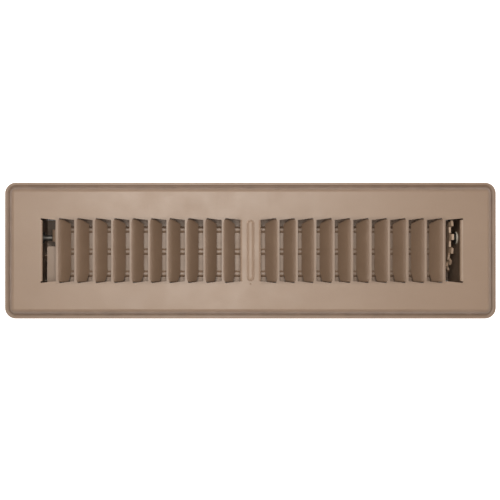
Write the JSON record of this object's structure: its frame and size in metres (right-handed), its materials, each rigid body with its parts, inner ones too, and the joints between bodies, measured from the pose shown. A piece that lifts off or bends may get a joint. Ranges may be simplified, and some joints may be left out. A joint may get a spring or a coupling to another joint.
{
  "type": "louvred floor register",
  "caption": "Stamped steel floor register with lanced louvres, a folded damper box underneath and a blade turned by a toothed thumb quadrant",
  "frame": {"origin": "centre of the face, on the plane of the rim's underside that rests on the floor", "axes": "+X along the face, +Y across it towards the damper's pivot side, +Z out of the floor"},
  "size_m": [0.3396, 0.094, 0.0533],
  "materials": {
    "face_paint": "satin baked enamel",
    "box_paint": "satin baked enamel",
    "zinc": "zinc plated",
    "nylon": "natural"
  },
  "bodies": {
    "housing": {"faceplate": "face_paint", "side_wall_front": "box_paint", "side_wall_back": "box_paint", "end_wall_left": "box_paint", "end_wall_right": "box_paint", "corner_rivets": "zinc", "left_pivot_bush": "nylon", "right_pivot_bush": "nylon"},
    "damper": {"damper_blade": "box_paint", "thumb_quadrant": "box_paint", "quadrant_rivets": "zinc", "left_pivot_pin": "zinc", "right_pivot_pin": "zinc", "thrust_washer": "zinc", "friction_spring": "zinc", "push_nuts": "zinc"}
  },
  "joints": [
    {"name": "damper_turn", "type": "hinge", "parent": "housing", "child": "damper", "pos_m": [0, 0.009, -0.021], "axis": [1, 0, 0], "range_deg": [0, 62]}
  ]
}
